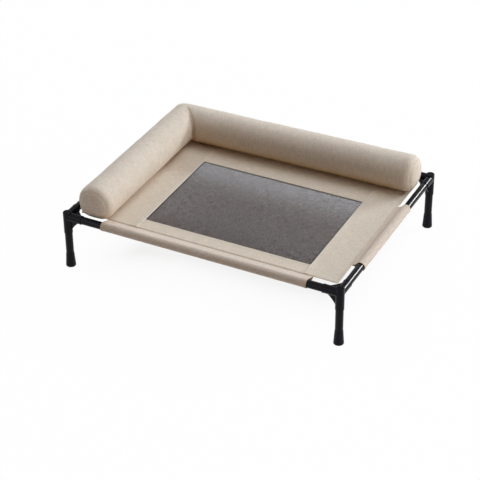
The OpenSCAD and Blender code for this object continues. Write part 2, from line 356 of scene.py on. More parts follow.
canvasSet = {
    "deck": {"tone": (217, 195, 171), "thread": 0.9, "slub": 0.48, "fleck": 0.62, "depth": 0.18},
    "sleeve": {"tone": (209, 185, 164), "thread": 0.9, "slub": 0.48, "fleck": 0.62, "depth": 0.18},
    "bolster": {"tone": (217, 195, 173), "thread": 0.8, "slub": 0.54, "fleck": 0.46, "depth": 0.16},
    "soilShade": (0.125, 0.215, 0.37),  # share of light that full wear or painted shade takes, most in blue, so the painted shade is warm
    "slubs": (((45, 380, 1), 1.0), ((420, 50, 1), 0.6)),  # noise scales along u and v, and a weight
    "slubDetail": 3.0,
    "cloud": (14.0, 0.10),  # scale and weight of broad unevenness
    "fleckScale": 330.0,
    "cloudDetail": 4.0,
    "weaveShade": 0.05,
    "rough": (0.82, 0.2),  # and how much the slubs change it
    "relief": (0.5, 1.4),  # of the weave and of the slubs
    "bump": 0.5,
    "gloss": {"Specular IOR Level": 0.22, "Sheen Weight": 0.12, "Sheen Roughness": 0.5},
}


# plain weave: threads along u and v pass over each other, so the height is sin(u) times sin(v);
# slubs are noise drawn out along each thread; the wear values darken places of real wear and also hold painted
# shade along seams, edges and the rolls' foot, and a painted highlight, paler along the deck's laps
def canvasFinish(name, opts, cloth=canvasSet):
    finish, tree, shader = startFinish(name)
    uv = weaveMap(tree)
    weave = times(tree, *threadWaves(tree, uv, "SINE", opts["thread"]))
    slub = streaks(tree, uv, cloth["slubs"], cloth["slubDetail"])
    level = times(tree, slub, opts["slub"])
    for scale, weight in (cloth["cloud"], (cloth["fleckScale"], opts["fleck"])):
        level = plus(tree, level, centred(tree, noise(tree, uv, scale, cloth["cloudDetail"]), weight))
    level = plus(tree, level, times(tree, weave, cloth["weaveShade"]), 1.0)

    # wear values: real wear, painted shade, and a painted highlight where they fall below zero
    wearAndPaintedLight = wearAndShadeOf(tree)
    channels = {}
    for channel, soilShade in zip(("Red", "Green", "Blue"), cloth["soilShade"]):
        channels[channel] = times(tree, level, minus(tree, 1.0, times(tree, wearAndPaintedLight, soilShade)))
    shade = put(tree, "CombineColor", channels).outputs[0]
    tint = put(tree, "Mix", {"Factor": 1.0, "A": tone(*opts["tone"]), "B": shade},
               data_type="RGBA", blend_type="MULTIPLY")
    plainRough, slubRough = cloth["rough"]
    weaveRelief, slubRelief = cloth["relief"]
    height = plus(tree, times(tree, weave, weaveRelief), times(tree, slub, slubRelief))
    plug(tree, shader, {
        "Base Color": tint.outputs["Result"],
        "Roughness": plus(tree, times(tree, slub, slubRough), plainRough),
        "Normal": bump(tree, height, cloth["bump"], opts["depth"]),
        **cloth["gloss"],
    })
    return finish


meshSet = {
    "tone": (51, 34, 30),
    "grain": (30, 40),  # how far its flecks go darker and lighter
    "darkest": 8,
    "flecks": (((48, 460, 1), 1.0), ((460, 48, 1), 0.9), ((300, 300, 1), 0.35)),
    "fleckDetail": 2.0,
    "fleckRun": (0.34, 0.66),
    "pitch": 1.7,
    "cover": 0.74,
    "coverDrift": 0.32,  # the flecks open and close the gaps by this much
    "gapSharp": 8.0,
    "edgeShade": 0.5,  # the sewn edge: how dark, how closed
    "edgeShut": 4.0,
    "bump": 0.4,
    "depth": 0.35,
    "gloss": {"Roughness": 0.75, "Specular IOR Level": 0.10, "Sheen Weight": 0.03},
}


# open weave: coated yarns cross at a pitch, and the gap between them opens where neither yarn's cosine is above the
# cover value; noise drawn out along the yarns varies their tone and the gaps, and the sewn edge is dark and closed
def meshFinish(name, opts):
    finish, tree, shader = startFinish(name)
    uv = weaveMap(tree)
    across, along = threadWaves(tree, uv, "COSINE", opts["pitch"])
    yarn = calc(tree, "MAXIMUM", calc(tree, "ABSOLUTE", across), calc(tree, "ABSOLUTE", along))
    blend = streaks(tree, uv, opts["flecks"], opts["fleckDetail"])
    edge = wearAndShadeOf(tree)
    shade = minus(tree, plus(tree, blend, 0.5), times(tree, edge, opts["edgeShade"]))
    darker, lighter = opts["grain"]
    dark = [max(c - darker, opts["darkest"]) for c in opts["tone"]]
    light = [c + lighter for c in opts["tone"]]
    plug(tree, shader, {
        "Base Color": ramp(tree, shade, dark, light, *opts["fleckRun"]),
        "Normal": bump(tree, yarn, opts["bump"], opts["depth"]),
        **opts["gloss"],
    })
    cover = plus(tree, times(tree, blend, opts["coverDrift"]), opts["cover"])
    shut = times(tree, minus(tree, yarn, cover), opts["gapSharp"])
    shut = plus(tree, shut, 0.5, times(tree, edge, opts["edgeShut"]))
    solid = put(tree, "Clamp", {"Value": shut}).outputs[0]
    gap = put(tree, "BsdfTransparent")
    both = put(tree, "MixShader", {0: solid, 1: gap.outputs[0], 2: shader.outputs[0]})
    plug(tree, tree.nodes["Material Output"], {"Surface": both.outputs[0]})
    return finish


blackSet = {
    "paintedTube": {"tone": (5, 4, 13), "rubTone": (22, 22, 25), "rub": 0.5, "rough": 0.17, "gloss": 0.14,
                    "topGloss": 0.14, "grain": 700.0, "bump": 0.10, "depth": 0.05},
    "mouldedPlastic": {"tone": (9, 8, 16), "rubTone": (22, 22, 25), "rub": 0.5, "rough": 0.19, "gloss": 0.12,
                       "topGloss": 0.04, "grain": 1500.0, "bump": 0.2, "depth": 0.06},
    "footPlastic": {"tone": (17, 17, 22), "rubTone": (26, 26, 29), "rub": 0.7, "rough": 0.42, "gloss": 0.11,
                    "topGloss": 0.11, "grain": 1100.0, "bump": 0.45, "depth": 0.1},
}
# what the black finishes share: noises by scale, detail and roughness, and the runs of values that count
blackWear = {
    "grainDetail": 3.0,
    "drift": (38.0, 5.0),
    "driftRun": (0.3, 0.7),
    "driftRough": (-0.05, 0.07),
    "rub": (260.0, 6.0, 0.7),
    "rubRun": (0.62, 0.78),
    "topRun": (0.97, 0.995),  # upward part of the normal on flat tops
}


# black paint or moulded plastic: fine grain, roughness that drifts, rubbed specks, and less gloss on flat tops
def blackFinish(name, opts, wear=blackWear):
    finish, tree, shader = startFinish(name)
    place = put(tree, "TexCoord").outputs
    grain = noise(tree, place["Object"], opts["grain"], wear["grainDetail"])
    drift = noise(tree, place["Object"], *wear["drift"])
    rubbed = mapRange(tree, noise(tree, place["Object"], *wear["rub"]), *wear["rubRun"])
    colour = put(tree, "Mix", {"Factor": times(tree, rubbed, opts["rub"]), "A": tone(*opts["tone"]),
                               "B": tone(*opts["rubTone"])}, data_type="RGBA")
    less, more = (opts["rough"] + change for change in wear["driftRough"])
    up = axesOf(tree, place["Normal"])["Z"]
    plug(tree, shader, {
        "Base Color": colour.outputs["Result"],
        "Roughness": mapRange(tree, drift, *wear["driftRun"], less, more),
        "Normal": bump(tree, grain, opts["bump"], opts["depth"]),
        "Specular IOR Level": mapRange(tree, up, *wear["topRun"], opts["gloss"], opts["topGloss"]),
    })
    return finish


threadSet = {
    "paleThread": (236, 226, 210),
    "brownThread": (178, 156, 126),
    "shade": 0.82,  # between the bands
    "turn": (0.6, 0.4, 0.8),
    "twist": 700.0,
    "gloss": {"Roughness": 0.6, "Specular IOR Level": 0.3, "Sheen Weight": 0.1},
}


# twisted thread: bands of a wave that is turned across every row
def threadFinish(name, opts=threadSet):
    finish, tree, shader = startFinish(name)
    place = put(tree, "TexCoord").outputs["Object"]
    turned = put(tree, "Mapping", {"Vector": place, "Rotation": opts["turn"]}).outputs[0]
    twist = put(tree, "TexWave", {"Vector": turned, "Scale": opts["twist"], "Distortion": 1.0}).outputs["Fac"]
    dark = [opts["shade"] * c for c in opts[name]]
    plug(tree, shader, {"Base Color": ramp(tree, twist, dark, opts[name]), **opts["gloss"]})
    return finish


tapeSet = {
    "tone": (188, 171, 150),
    "shade": 0.72,  # in the hollows
    "shadeRun": (0.2, 0.8),
    "loopGrain": 900.0,
    "loopDetail": 5.0,
    "hookPitch": 1.5,
    "hookHeight": 0.5,
    "bump": 0.9,
    "depth": 0.6,
    "gloss": {"Roughness": 0.85, "Specular IOR Level": 0.2, "Sheen Weight": 0.3},
}


# hook and loop tape: loops are a soft tangle of noise, hooks stand in rows, as sin(u) times sin(v)
def tapeFinish(name, opts, hooks):
    finish, tree, shader = startFinish(name)
    uv = weaveMap(tree)
    height = noise(tree, uv, opts["loopGrain"], opts["loopDetail"])
    if hooks:
        rows = times(tree, *threadWaves(tree, uv, "SINE", opts["hookPitch"] / 2))
        height = plus(tree, times(tree, rows, opts["hookHeight"]), height)
    dark = [opts["shade"] * c for c in opts["tone"]]
    plug(tree, shader, {
        "Base Color": ramp(tree, height, dark, opts["tone"], *opts["shadeRun"]),
        "Normal": bump(tree, height, opts["bump"], opts["depth"]),
        **opts["gloss"],
    })
    return finish


finishes = {
    "deckCanvas": canvasFinish("deckCanvas", canvasSet["deck"]),
    "sleeveCanvas": canvasFinish("sleeveCanvas", canvasSet["sleeve"]),
    "bolsterCanvas": canvasFinish("bolsterCanvas", canvasSet["bolster"]),
    "meshWeave": meshFinish("meshWeave", meshSet),
    "paleThread": threadFinish("paleThread"),
    "brownThread": threadFinish("brownThread"),
    "loopTape": tapeFinish("loopTape", tapeSet, hooks=False),
    "hookTape": tapeFinish("hookTape", tapeSet, hooks=True),
}
for finishName, finishOpts in blackSet.items():
    finishes[finishName] = blackFinish(finishName, finishOpts)
print("finishes:", len(finishes))

# the frame keeps its CAD shapes and takes the black finishes
sideNames = ("front", "rear", "left", "right")
cornerNames = ("front_left", "front_right", "rear_left", "rear_right")
frameFinishes = {
    "paintedTube": [side + "_rail" for side in sideNames] + [corner + "_leg" for corner in cornerNames],
    "mouldedPlastic": [corner + "_connector" for corner in cornerNames],
    "footPlastic": [corner + "_foot" for corner in cornerNames],
}
for finishName, nodeNames in frameFinishes.items():
    for nodeName in nodeNames:
        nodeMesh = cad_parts[nodeName].data
        nodeMesh.materials.clear()
        nodeMesh.materials.append(finishes[finishName])


# Pieces from grids

# quads of an nu by nv grid of points; wrap joins the last column to the first
def gridQuads(nu, nv, wrap=False):
    i, j = np.meshgrid(np.arange(nu - 1), np.arange(nv if wrap else nv - 1), indexing="ij")
    k = (j + 1) % nv
    return np.stack([i * nv + j, (i + 1) * nv + j, (i + 1) * nv + k, i * nv + k], -1).reshape(-1, 4)


# the weave's place in metres at the four corners of each of those quads, from a grid one column wider where it wraps
def gridCells(weave):
    return weave.reshape(-1, 2)[gridQuads(*weave.shape[:2])]


# 1 if the faces, taken together, look away from the inside point, else -1: the step in which to list their corners
def outwardStep(points, faces, inside):
    p = points[faces]
    normals = np.cross(p[:, 2] - p[:, 0], p[:, -1] - p[:, 1])
    return -1 if np.sum(normals * (p.mean(1) - inside)) < 0 else 1


# points, quads and weave of a grid that looks away from the inside point
def gridSkin(points, weave, inside):
    flat = points.reshape(-1, 3)
    quads = gridQuads(*points.shape[:2])
    step = outwardStep(flat, quads, inside)
    return flat, quads[:, ::step], gridCells(weave)[:, ::step]


# the same of a level sheet, where the weave is x and y; it looks up, or down where facing is -1
def levelSkin(x, y, z, facing=1):
    points = np.stack([x, y, z], -1)
    behind = points.mean((0, 1)) - np.array([0, 0, facing])
    return gridSkin(points, points[..., :2], behind)


# how far each point is inside each edge of a box, by the edge's name
def edgeDistances(lo, hi, x, y):
    return {"x0": x - lo[0], "x1": hi[0] - x, "y0": y - lo[1], "y1": hi[1] - y}


# and how far inside the nearest of them, or of those that are named
def nearestEdge(away, names=("x0", "x1", "y0", "y1")):
    return np.min([away[k] for k in names], axis=0)


# a mesh with the weave at each face's corners and the wear at each point, which also holds painted shade and
# highlight; it goes on its body with its finish
def makePiece(name, points, faces, body, finish, cells=None, wear=None, thickness=0.0, levels=0):
    mesh = bpy.data.meshes.new(name)
    mesh.from_pydata(points.tolist(), [], [list(map(int, f)) for f in faces])
    if cells is not None:
        layer = mesh.uv_layers.new(name="weave")
        layer.data.foreach_set("uv", np.ascontiguousarray(cells, dtype=np.float32).ravel())
    if wear is not None:
        mark = mesh.attributes.new("wear", "FLOAT", "POINT")
        mark.data.foreach_set("value", np.ascontiguousarray(wear, dtype=np.float32).ravel())
    mesh.polygons.foreach_set("use_smooth", np.ones(len(mesh.polygons), dtype=bool))
    mesh.materials.append(finishes[finish])
    piece = bpy.data.objects.new(name, mesh)
    scene.collection.objects.link(piece)
    if thickness:
        wall = piece.modifiers.new("thickness", "SOLIDIFY")
        wall.thickness = thickness
        wall.offset = -1
    if levels:
        rounding = piece.modifiers.new("round", "SUBSURF")
        rounding.levels = levels
        rounding.render_levels = levels
    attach(piece, body)
    return piece


stitchSet = {
    "pitch": 4.2,
    "length": 3.3,
    "width": 0.75,
    "height": 0.5,
    "sides": 6,
    "at": (-1.0, -0.72, 0.0, 0.72, 1.0),  # rings along half its length each way, and their sizes
    "swell": (0.35, 0.8, 1.0, 0.8, 0.35),
}


# one stitch is an ellipse carried along its length, narrowing to both ends; copies stand along each row,
# with their length along the row and their height upright
def stitches(name, rows, lift, finish, opts=stitchSet):
    m, size = opts["sides"], opts["sides"] * len(opts["at"])
    a = np.linspace(0, 2 * math.pi, m, endpoint=False)
    swell = np.array(opts["swell"])[:, None]
    along = np.repeat(np.array(opts["at"]) * opts["length"] / 2, m)[None, :, None]
    across = (swell * np.cos(a) * opts["width"] / 2).reshape(1, -1, 1)
    high = (swell * np.sin(a) * opts["height"]).reshape(1, -1, 1)

    places, ways = [], []
    for start, end in rows:
        run = end - start
        length = np.linalg.norm(run)
        count = max(int(length / (opts["pitch"] * mm)), 2)
        places.append(start + (np.arange(count) + 0.5)[:, None] / count * run)
        ways.append(np.repeat(run[None] / length, count, 0))
    places, ways = lift(np.concatenate(places)), np.concatenate(ways)
    up = np.array([0.0, 0.0, 1.0])
    verts = places[:, None] + mm * (along * ways[:, None] + across * np.cross(up, ways)[:, None] + high * up)
    first = np.arange(len(places))[:, None] * size  # number of each copy's first point
    quads = (gridQuads(len(opts["at"]), m, wrap=True)[None, :, ::-1] + first[:, None]).reshape(-1, 4)
    caps = [*(np.arange(m) + first), *(np.arange(size - m, size)[::-1] + first)]
    makePiece(name, verts.reshape(-1, 3), [*quads, *caps], "frame", finish)


# Deck

deckSet = {  # mm, but for shares of wear and painted shade or highlight, and the droop's metres
    "step": 4.5,  # grid spacing
    "edgeRows": (0, 0.8, 1.8, 3.0, 4.4),  # finer rows beside the cut edges, and where the plain ones start
    "plainFrom": 6,
    "lap": 1.25,  # the side panels lie this far over the front and rear ones
    "meshLap": 0.35,  # and this far above the mesh
    "lapWidth": 13,
    "lapSlope": 3,
    "lapStep": 8,  # run between the two heights
    "hem": 0.1,  # turned edge
    "hemWidth": 9,
    "hemSlope": 4,
    "under": 11,  # how far the front and rear panels run under the side panels
    "cornerRound": 4,
    "flare": 3.5,  # the free corners spread this far past the sleeves' line
    "flareRun": 9,
    "slack": 0.22,  # slow unevenness
    "pull": 0.30,  # small ripples beside the sleeve stitching, and how far they reach
    "pullReach": 16,
    "droop": 0.9,  # of the free corners
    "droopX": (0.30, 0.085),  # it starts this far from the middle and grows along this run
    "droopY": (0.18, 0.098),
    "soilShade": 0.25,  # wear and painted edge shade along the hems, and its width
    "soilWidth": 2.5,
    "rubbed": 0.35,  # and a painted highlight, paler along the laps' edges
    "lapHighlightWidth": 2.6,
    "beadAt": 3.4,  # a ridge beside each lap's edge: its distance from the edge
    "beadWidth": 1.8,
    "beadEnd": 12,  # it ends along this run in front of the rear roll
    "hemStitch": 3.2,  # stitch rows in from a hem's edge, and from a lap's or a window's
    "lapStitches": (2.6, 8.6),
    "stitchTrim": 5,
    "thickness": 1.15,
}

deckTop = nodeBox("left_deck_panel")[1][2]
windowLow = np.array([nodeBox("left_deck_panel")[1][0], nodeBox("front_deck_panel")[1][1]])
windowHigh = np.array([nodeBox("right_deck_panel")[0][0], nodeBox("rear_deck_panel")[0][1]])
rollFront = nodeBox("rear_bolster_cover")[0][1]  # the rear roll lies on the deck from here back

# slow waves of the deck and ripples of its edges, in metres and radians
deckWaves = [(0.31, 0.92, 0.4), (-0.55, 0.27, 1.9), (0.17, -0.41, 3.1), (1.3, 0.36, 5.0)]
pullWaves = [(0.021, 0.3, 0.0), (0.034, -0.2, 1.1), (0.052, 0.4, 2.6)]

# free edges are stitched to a sleeve or hang free, a side panel lies over the others, and a window edge meets the mesh
panelSides = {
    "leftPanel": {"node": "left_deck_panel", "free": ("x0", "y0", "y1"), "over": "x1", "bead": 0.3},
    "rightPanel": {"node": "right_deck_panel", "free": ("x1", "y0", "y1"), "over": "x0", "bead": 0.7},
    "frontPanel": {"node": "front_deck_panel", "free": ("y0",), "window": "y1"},
    "rearPanel": {"node": "rear_deck_panel", "free": ("y1",), "window": "y0"},
}


# how far each point is inside the nearest hemmed edge
def fromHem(sides, away):
    return nearestEdge(away, [*sides["free"], *([sides["window"]] if "window" in sides else [])])


# the panel's height: level, plus slow waves, plus the hem at free edges, the lap and its bead at the edge that lies
# over its neighbours, ripples that die away from the sleeve stitching, less the droop of the deck's free corners
def panelHeight(sides, x, y, opts=deckSet):
    away = edgeDistances(*nodeBox(sides["node"]), x, y)
    z = deckTop + opts["slack"] * mm * ripple(x, y, deckWaves)
    nearest = fromHem(sides, away) / mm
    z = z + opts["hem"] * mm * ease((opts["hemWidth"] + opts["hemSlope"] - nearest) / opts["hemSlope"])
    if "over" in sides:
        step = opts["lapStep"] * mm
        beside = ease((windowLow[1] - y) / step + 0.5) + ease((y - windowHigh[1]) / step + 0.5)
        rise = opts["meshLap"] + (opts["lap"] - opts["meshLap"]) * np.clip(beside, 0, 1)
        inside = away[sides["over"]] / mm
        z = z + rise * mm * ease((opts["lapWidth"] + opts["lapSlope"] - inside) / opts["lapSlope"])
        bead = sides["bead"] * mm * bell(inside - opts["beadAt"], opts["beadWidth"])
        z = z + bead * ease((rollFront - y) / (opts["beadEnd"] * mm))
    for k in sides["free"]:
        along = x if k[0] == "y" else y
        fade = np.exp(-away[k] / (opts["pullReach"] * mm))
        z = z + opts["pull"] * mm * ripple(along, away[k], pullWaves) * fade
    drop = opts["droop"] * mm
    for place, (start, run) in ((x, opts["droopX"]), (y, opts["droopY"])):
        drop = drop * ease((np.abs(place) - start) / run)
    return z - drop


# grid lines from a to b, closer beside both
def cutLines(a, b, opts):
    edge, plain = np.array(opts["edgeRows"]) * mm, opts["plainFrom"] * mm
    count = int((b - a) / (opts["step"] * mm)) + 1
    return np.concatenate([a + edge, np.linspace(a + plain, b - plain, count), b - edge[::-1]])


# the two ends of a stitch row that runs an inset in from one edge of a box
def edgeRow(lo, hi, edge, inset, trim):
    a, b = np.array([*lo[:2], 0]), np.array([*hi[:2], 0])
    fixed = "xy".index(edge[0])
    a[fixed] = b[fixed] = lo[fixed] + inset if edge[1] == "0" else hi[fixed] - inset
    a[1 - fixed] += trim
    b[1 - fixed] -= trim
    return a, b


# x and y over the panel's cut; on a side panel the outer corners are rounded, so the edge draws in by
# r - sqrt(r^2 - c^2), and past the sleeve's ends it spreads by the flare
def makePanel(name, sides, opts=deckSet):
    lo, hi = nodeBox(sides["node"])
    x0, x1 = lo[0], hi[0]
    if "window" in sides:
        x0, x1 = x0 - opts["under"] * mm, x1 + opts["under"] * mm
    u, y = np.meshgrid(cutLines(0, x1 - x0, opts), cutLines(lo[1], hi[1], opts), indexing="ij")
    x = x0 + u
    if "over" in sides:
        atLeft = "x0" in sides["free"]
        outer = 1 - (x - x0 if atLeft else x1 - x) / (x1 - x0)  # 1 at the outer edge, 0 at the lap
        r = opts["cornerRound"] * mm
        c = np.maximum(r - np.minimum(y - lo[1], hi[1] - y), 0)
        sleeveLo, sleeveHi = nodeBox(sides["node"].replace("deck_panel", "sleeve"))
        free = ease(np.maximum(sleeveLo[1] - y, y - sleeveHi[1]) / (opts["flareRun"] * mm))
        shift = (r - np.sqrt(r * r - c * c)) * outer - opts["flare"] * mm * free * outer ** 3
        x = x + shift if atLeft else x - shift
    away = edgeDistances(lo, hi, x, y)
    # darker along the hems, as wear and painted edge shade
    wear = opts["soilShade"] * np.exp(-np.maximum(fromHem(sides, away), 0) / (opts["soilWidth"] * mm))
    if "over" in sides:
        # painted highlight, paler along the lap's edge
        wear = wear - opts["rubbed"] * bell(away[sides["over"]], opts["lapHighlightWidth"] * mm)
    points, quads, cells = levelSkin(x, y, panelHeight(sides, x, y, opts))
    piece = makePiece(name, points, quads, "frame", "deckCanvas", cells, wear,
                      thickness=opts["thickness"] * mm)
    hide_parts(sides["node"])

    def lift(p):
        return np.stack([p[:, 0], p[:, 1], panelHeight(sides, p[:, 0], p[:, 1], opts)], -1)

    # one stitch row along each free edge, two along a lap or a window edge
    rows = {
        "brownThread": [(edge, opts["hemStitch"]) for edge in sides["free"]],
        "paleThread": [(sides[k], inset) for k in ("over", "window") if k in sides for inset in opts["lapStitches"]],
    }
    for thread, lines in rows.items():
        ends = [edgeRow(lo, hi, edge, inset * mm, opts["stitchTrim"] * mm) for edge, inset in lines]
        stitches(name + "." + thread, ends, lift, thread)


for panelName, panelSide in panelSides.items():
    makePanel(panelName, panelSide)


meshSheetSet = {
    "step": 5.0,
    "edgeRows": (-1.5, 0, 0.8, 1.6, 2.6, 4),  # finer rows beside the window's edges
    "clear": 4.5,  # how far the plain rows stay off those, and off the low and high cut edges
    "margin": (3, 2),
    "sag": 1.8,
    "gap": 0.15,  # below the panels
    "selvage": 2.4,  # width of the dark sewn edge
}


# the mesh is a shallow dish: its height drops by sag times (1 - u^2)(1 - v^2) between its edges
def makeMesh(opts):
    lo, hi = nodeBox("mesh_window")
    near = np.array(opts["edgeRows"]) * mm
    lines = []
    for k in (0, 1):
        plain = np.arange(lo[k] + opts["margin"][0] * mm, hi[k] - opts["margin"][1] * mm, opts["step"] * mm)
        plain = plain[np.abs(plain[:, None] - [windowLow[k], windowHigh[k]]).min(1) > opts["clear"] * mm]
        lines.append(np.sort(np.concatenate([[lo[k], hi[k]], plain, windowLow[k] + near, windowHigh[k] - near])))
    x, y = np.meshgrid(*lines, indexing="ij")
    inwards = nearestEdge(edgeDistances(windowLow, windowHigh, x, y))
    edge = bell(np.maximum(inwards, 0), opts["selvage"] * mm)
    u = 2 * (x - lo[0]) / (hi[0] - lo[0]) - 1
    v = 2 * (y - lo[1]) / (hi[1] - lo[1]) - 1
    z = hi[2] - opts["gap"] * mm - opts["sag"] * mm * (1 - u ** 2) * (1 - v ** 2)
    points, quads, cells = levelSkin(x, y, z)
    piece = makePiece("meshWindow", points, quads, "frame", "meshWeave", cells, edge)
    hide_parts("mesh_window")


makeMesh(meshSheetSet)
print("deck: four panels, the mesh and their stitching")


# Sleeves

sleeveSet = {
    "cloth": 1.1,
    "radius": 12.5,  # outside of the cloth round the rail
    "step": 5.0,
    "endRows": (0, 0.7, 2.0, 4.0, 6.0, 7.5, 9.0, 11.0),  # finer rows beside both ends, in place of this many plain ones
    "endPlain": 3,
    "tail": 9.0,  # seam allowance under the deck
    "upperTail": -0.55,  # heights of the two tails from the rail's axis
    "lowerTail": -2.75,
    "tailPoints": 4,  # points of the profile along a tail, along a run and round the rail
    "runPoints": 12,
    "arcPoints": 40,
    "grip": {"front": 69, "rear": 69, "left": 40, "right": 40},  # degrees up the rail at which the cloth leaves it
    "dip": {"front": 0.0, "rear": 0.0, "left": 1.0, "right": 1.0},  # 0 runs straight to the rail, 1 leaves level
    "handle": 0.42,  # length of a run's handles, as a share of the run, and their tilt where they leave level
    "tilt": 0.04,
    "ends": {"front": (4.5, 1.5)},  # how far each end of a sleeve slides to the right
    "wrinkle": 0.45,
    "arcWrinkle": (0.05, 0.25),  # share of it round the rail: at the sides, and how much more in the middle
    "endHem": 0.5,
    "endHemWidth": 7.5,
    "endHemSlope": 1.5,
    "endHemGain": 8,  # it comes in this fast where the cloth leaves the deck
    "wrinkleShift": 0.1,  # the wrinkles start elsewhere on each sleeve, by this times its inset
    "endSoil": (1.0, 2.0),  # wear and its width at the ends, and wear with painted shade along the deck's edge
    "deckEdgeSoilShade": (0.2, 2.5),
}
wrinkleWaves = [(0.071, 0.31, 0.3), (0.113, -0.24, 2.2), (0.039, 0.5, 4.0), (0.19, 0.7, 1.0), (0.017, 0.11, 2.9)]


# a tail under the deck, a run up to the rail, round the rail and back: distance in from the axis, and height;
# each run is a cubic curve that leaves the tail straight or level and meets the rail's circle along its tangent
def sleeveProfile(inset, grip, dip, opts):
    r, grip = opts["radius"], math.radians(grip)
    t = np.linspace(0, 1, opts["runPoints"])[:, None]
    runs, tails = [], []
    for height, way in ((opts["upperTail"], 1), (opts["lowerTail"], -1)):
        a = way * grip
        end, touch = np.array([inset, height]), r * np.array([math.cos(a), math.sin(a)])
        length = np.linalg.norm(touch - end)
        level = np.array([-1.0, -opts["tilt"] * way])
        first = end + opts["handle"] * length * (dip * level + (1 - dip) * (touch - end) / length)
        second = touch - opts["handle"] * length * way * np.array([-math.sin(a), math.cos(a)])
        runs.append((1 - t) ** 3 * end + 3 * (1 - t) ** 2 * t * first + 3 * (1 - t) * t ** 2 * second + t ** 3 * touch)
        tails.append(np.linspace(opts["tail"], 0, opts["tailPoints"])[:, None] * [1, 0] + end)
    a = np.linspace(grip, 2 * math.pi - grip, opts["arcPoints"])
    arc = r * np.stack([np.cos(a), np.sin(a)], -1)
    profile = np.concatenate([tails[0], runs[0][1:-1], arc, runs[1][::-1][1:-1], tails[1][::-1]])
    least, more = opts["arcWrinkle"]
    run, tail = np.sin(math.pi * t[1:-1, 0]), np.zeros(opts["tailPoints"])
    around = more * np.sin(np.linspace(0, math.pi, opts["arcPoints"])) + least
    return profile, np.concatenate([tail, run, around, run, tail])


# the profile carried along the rail, moved along its own normal by wrinkles and by the turned hem at both ends
def makeSleeve(side, opts=sleeveSet):
    node, rail = side + "_sleeve", side + "_rail"
    lo, hi = nodeBox(node)
    axis = sum(nodeBox(rail)) / 2
    run = 0 if hi[0] - lo[0] > hi[1] - lo[1] else 1
    cross = 1 - run
    inwards = 1 if axis[cross] < 0 else -1
    inset = (hi[cross] - axis[cross] if inwards > 0 else axis[cross] - lo[cross]) / mm
    profile, loose = sleeveProfile(inset, opts["grip"][side], opts["dip"][side], opts)
    tangent = np.gradient(profile, axis=0)
    normal = np.stack([-tangent[:, 1], tangent[:, 0]], -1)
    normal /= np.linalg.norm(normal, axis=1)[:, None]
    middle = slice(len(profile) // 3, 2 * len(profile) // 3)  # round the rail, where outwards is away from its axis
    normal *= np.sign(np.sum(normal[middle] * profile[middle]))
    lengths = np.concatenate([[0], np.cumsum(np.hypot(*np.diff(profile, axis=0).T))])

    slid = opts["ends"].get(side, (0, 0))
    a0, a1 = lo[run] + slid[0] * mm, hi[run] + slid[1] * mm
    ends, skip = np.array(opts["endRows"]) * mm, opts["endPlain"]
    plain = np.linspace(a0, a1, int((a1 - a0) / (opts["step"] * mm)))[skip:-skip]
    s, w = np.meshgrid(np.concatenate([a0 + ends, plain, a1 - ends[::-1]]), lengths * mm, indexing="ij")
    fromEnd = np.minimum(s - a0, a1 - s) / mm
    hem = opts["endHem"] * ease((opts["endHemWidth"] + opts["endHemSlope"] - fromEnd) / opts["endHemSlope"])
    move = opts["wrinkle"] * ripple(s + opts["wrinkleShift"] * inset, w, wrinkleWaves) * loose
    move = move + hem * np.minimum(loose * opts["endHemGain"], 1)
    points = np.zeros((*s.shape, 3))
    points[..., run] = s
    points[..., cross] = axis[cross] + inwards * (profile[:, 0] + normal[:, 0] * move) * mm
    points[..., 2] = axis[2] + (profile[:, 1] + normal[:, 1] * move) * mm
    (endSoil, endWidth), (deckEdgeSoilShade, deckWidth) = opts["endSoil"], opts["deckEdgeSoilShade"]
    # wear with painted shade beside the deck's edge
    besideDeck = deckEdgeSoilShade * np.exp(-np.abs(profile[:, 0] - inset) / deckWidth)
    wear = np.maximum(endSoil * np.exp(-fromEnd / endWidth), besideDeck)
    axis[run] = (a0 + a1) / 2
    flat, quads, cells = gridSkin(points, np.stack([s, w], -1), axis)
    piece = makePiece(side + "Sleeve", flat, quads, "frame", "sleeveCanvas", cells, wear,
                      thickness=opts["cloth"] * mm)
    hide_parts(node)


for sideName in sideNames:
    makeSleeve(sideName)
print("sleeves: four, round their rails")


# Bolster

